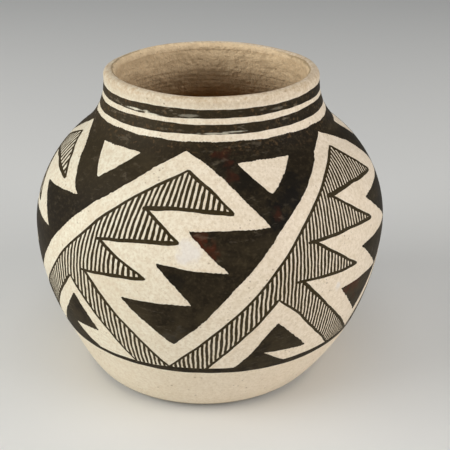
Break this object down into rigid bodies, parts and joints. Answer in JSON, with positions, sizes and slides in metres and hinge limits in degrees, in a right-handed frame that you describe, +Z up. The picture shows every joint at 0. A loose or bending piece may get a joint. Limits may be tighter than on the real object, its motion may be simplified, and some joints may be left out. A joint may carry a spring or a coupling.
{
  "type": "pueblo pottery jar",
  "caption": "Round hand-coiled clay jar with a short upright neck and open mouth, white slip and a black painted design of interlocking solid and hatched serrated fields.",
  "frame": {"origin": "middle of the foot, on the surface that the jar stands on", "axes": "+Z up along the jar's axis, the front of the design faces -Y"},
  "size_m": [0.1402, 0.1402, 0.1215],
  "materials": {
    "clay": "matte scraped fired clay",
    "white_slip": "stone-polished slip",
    "black_paint": "mineral paint, low sheen"
  },
  "bodies": {
    "root": {"base_bowl": "clay", "wall_coil_1": "clay", "wall_coil_2": "clay", "wall_coil_3": "clay", "wall_coil_4": "clay", "wall_coil_5": "clay", "wall_coil_6": "clay", "wall_coil_7": "clay", "neck_coil": "clay", "rim_coil": "clay", "slip_coat": "white_slip", "neck_band_upper": "black_paint", "neck_band_lower": "black_paint", "base_line": "black_paint", "black_field_1": "black_paint", "black_field_2": "black_paint", "black_field_3": "black_paint", "black_field_4": "black_paint", "black_field_5": "black_paint", "hatch_outline_1": "black_paint", "hatch_outline_2": "black_paint", "hatch_outline_3": "black_paint", "hatch_outline_4": "black_paint", "hatch_outline_5": "black_paint", "hatching_1": "black_paint", "hatching_2": "black_paint", "hatching_3": "black_paint", "hatching_4": "black_paint", "hatching_5": "black_paint", "foot_peak_1": "black_paint", "foot_peak_2": "black_paint", "foot_peak_3": "black_paint", "foot_peak_4": "black_paint", "foot_peak_5": "black_paint"}
  },
  "joints": []
}
